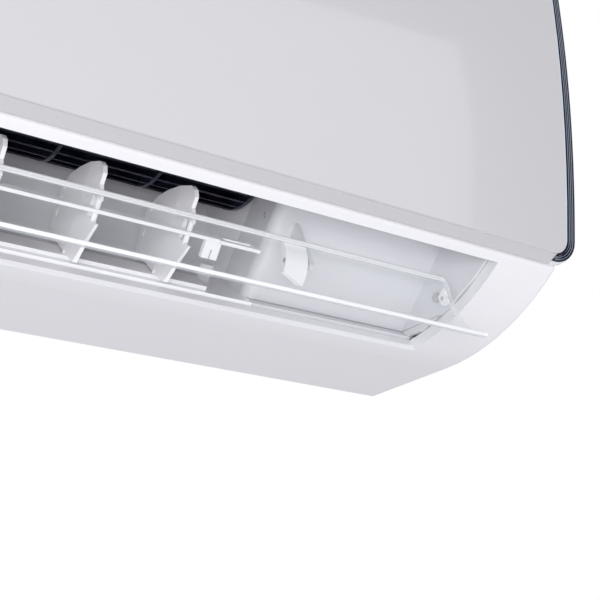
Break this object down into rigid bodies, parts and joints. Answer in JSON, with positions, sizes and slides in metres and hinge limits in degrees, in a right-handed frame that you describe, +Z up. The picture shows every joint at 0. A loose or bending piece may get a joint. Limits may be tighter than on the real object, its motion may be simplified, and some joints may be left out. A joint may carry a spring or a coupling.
{
  "type": "mini split indoor unit",
  "caption": "Wall-hung air conditioner indoor unit with a lifting front panel, a swinging clear louver, linked upright vanes and a cross-flow fan.",
  "frame": {"origin": "centre of the wall plate's four screw holes, on the wall", "axes": "+X along the unit to its right as seen from the room, +Y into the wall, +Z up"},
  "size_m": [0.86, 0.2085, 0.297],
  "materials": {
    "white_gloss": "high-gloss moulded plastic",
    "white_plastic": "satin moulded plastic",
    "dark_trim": "dark grey satin plastic",
    "clear_plastic": "clear moulded plastic",
    "fan_plastic": "black moulded plastic",
    "steel": "steel",
    "galvanised": "zinc-coated sheet",
    "fins": "coated aluminium fins",
    "copper": "copper tube",
    "brass": "machined brass",
    "foam": "closed-cell foam",
    "dark_foam": "closed-cell foam sleeve",
    "rubber": "rubber",
    "grey_rubber": "grey rubber",
    "board": "circuit board laminate",
    "terminal": "terminal plastic",
    "net": "woven net in a moulded frame",
    "motor_resin": "resin"
  },
  "bodies": {
    "unit": {"air_duct": "white_plastic", "air_filter_left": "net", "air_filter_right": "net", "bearing_cushion": "rubber", "casing_screws": "steel", "circuit_board": "board", "drain_pan": "white_plastic", "drain_pan_foam": "foam", "drain_spout": "white_plastic", "electric_box": "white_plastic", "electric_cover": "white_plastic", "end_wall_cap": "grey_rubber", "evaporator_front_lower": "fins", "evaporator_front_upper": "fins", "evaporator_rear": "fins", "fan_bearing": "brass", "fan_motor": "motor_resin", "flare_nuts": "brass", "front_casing": "white_plastic", "gas_pipe": "copper", "intake_grille": "white_plastic", "liquid_pipe": "copper", "louver_motor": "galvanised", "motor_clamp": "galvanised", "mounting_plate": "galvanised", "outlet_pocket_right": "white_plastic", "outlet_wall_left": "white_plastic", "pipe_insulation": "dark_foam", "pipe_knockouts": "white_plastic", "rear_chassis": "white_plastic", "receiver_board": "board", "return_bends": "copper", "screw_caps": "white_plastic", "terminal_block": "terminal", "vane_rail": "white_plastic"},
    "fan": {"cross_flow_fan": "fan_plastic", "fan_spindle": "steel", "motor_shaft": "steel"},
    "button": {"service_button": "white_plastic"},
    "panel": {"front_panel": "white_gloss", "panel_back_frame": "white_plastic", "edge_trim_right": "dark_trim", "edge_trim_left": "dark_trim", "panel_hinge_pins": "steel"},
    "louver_blade": {"louver": "clear_plastic", "louver_arms": "white_plastic", "louver_pins": "steel"},
    "bar_right": {"link_bar_right": "white_plastic"},
    "bar_left": {"link_bar_left": "white_plastic"},
    "vane_1_body": {"vane_1": "white_plastic"},
    "vane_2_body": {"vane_2": "white_plastic"},
    "vane_3_body": {"vane_3": "white_plastic"},
    "vane_4_body": {"vane_4": "white_plastic"},
    "vane_5_body": {"vane_5": "white_plastic"},
    "vane_6_body": {"vane_6": "white_plastic"},
    "vane_7_body": {"vane_7": "white_plastic"},
    "vane_8_body": {"vane_8": "white_plastic"},
    "vane_9_body": {"vane_9": "white_plastic"},
    "vane_10_body": {"vane_10": "white_plastic"}
  },
  "joints": [
    {"name": "fan_spin", "type": "hinge", "parent": "unit", "child": "fan", "pos_m": [0, -0.095, -0.029], "axis": [1, 0, 0], "continuous": true},
    {"name": "button_press", "type": "slide", "parent": "unit", "child": "button", "axis": [0, 1, 0], "range_m": [0, 0.0012], "stiffness_N_per_m": 500, "springref_m": -0.0006},
    {"name": "panel_swing", "type": "hinge", "parent": "unit", "child": "panel", "pos_m": [0, -0.1925, 0.127], "axis": [-1, 0, 0], "range_deg": [0, 60]},
    {"name": "louver_swing", "type": "hinge", "parent": "unit", "child": "louver_blade", "pos_m": [0, -0.143, -0.128], "axis": [1, 0, 0], "range_deg": [-10, 106]},
    {"name": "vane_3_turn", "type": "hinge", "parent": "unit", "child": "vane_3_body", "pos_m": [0.084, -0.09184, -0.13132], "axis": [0, -0.6252, 0.7804], "range_deg": [-30, 30]},
    {"name": "vane_1_turn", "type": "hinge", "parent": "unit", "child": "vane_1_body", "pos_m": [0.194, -0.09184, -0.13132], "axis": [0, -0.6252, 0.7804], "range_deg": [-30, 30]},
    {"name": "vane_2_turn", "type": "hinge", "parent": "unit", "child": "vane_2_body", "pos_m": [0.139, -0.09184, -0.13132], "axis": [0, -0.6252, 0.7804], "range_deg": [-30, 30]},
    {"name": "vane_4_turn", "type": "hinge", "parent": "unit", "child": "vane_4_body", "pos_m": [0.029, -0.09184, -0.13132], "axis": [0, -0.6252, 0.7804], "range_deg": [-30, 30]},
    {"name": "vane_5_turn", "type": "hinge", "parent": "unit", "child": "vane_5_body", "pos_m": [-0.026, -0.09184, -0.13132], "axis": [0, -0.6252, 0.7804], "range_deg": [-30, 30]},
    {"name": "bar_right_pivot", "type": "hinge", "parent": "vane_3_body", "child": "bar_right", "pos_m": [0.084, -0.13183, -0.11979], "axis": [0, -0.6252, 0.7804], "range_deg": [-30, 30]},
    {"name": "vane_8_turn", "type": "hinge", "parent": "unit", "child": "vane_8_body", "pos_m": [-0.191, -0.09184, -0.13132], "axis": [0, -0.6252, 0.7804], "range_deg": [-30, 30]},
    {"name": "vane_6_turn", "type": "hinge", "parent": "unit", "child": "vane_6_body", "pos_m": [-0.081, -0.09184, -0.13132], "axis": [0, -0.6252, 0.7804], "range_deg": [-30, 30]},
    {"name": "vane_7_turn", "type": "hinge", "parent": "unit", "child": "vane_7_body", "pos_m": [-0.136, -0.09184, -0.13132], "axis": [0, -0.6252, 0.7804], "range_deg": [-30, 30]},
    {"name": "vane_9_turn", "type": "hinge", "parent": "unit", "child": "vane_9_body", "pos_m": [-0.246, -0.09184, -0.13132], "axis": [0, -0.6252, 0.7804], "range_deg": [-30, 30]},
    {"name": "vane_10_turn", "type": "hinge", "parent": "unit", "child": "vane_10_body", "pos_m": [-0.301, -0.09184, -0.13132], "axis": [0, -0.6252, 0.7804], "range_deg": [-30, 30]},
    {"name": "bar_left_pivot", "type": "hinge", "parent": "vane_8_body", "child": "bar_left", "pos_m": [-0.191, -0.13183, -0.11979], "axis": [0, -0.6252, 0.7804], "range_deg": [-30, 30]}
  ],
  "couplings": [
    {"joint": "vane_1_turn", "follows": "vane_3_turn", "ratio": 1},
    {"joint": "vane_2_turn", "follows": "vane_3_turn", "ratio": 1},
    {"joint": "vane_4_turn", "follows": "vane_3_turn", "ratio": 1},
    {"joint": "vane_5_turn", "follows": "vane_3_turn", "ratio": 1},
    {"joint": "bar_right_pivot", "follows": "vane_3_turn", "ratio": -1},
    {"joint": "vane_6_turn", "follows": "vane_8_turn", "ratio": 1},
    {"joint": "vane_7_turn", "follows": "vane_8_turn", "ratio": 1},
    {"joint": "vane_9_turn", "follows": "vane_8_turn", "ratio": 1},
    {"joint": "vane_10_turn", "follows": "vane_8_turn", "ratio": 1},
    {"joint": "bar_left_pivot", "follows": "vane_8_turn", "ratio": -1}
  ]
}
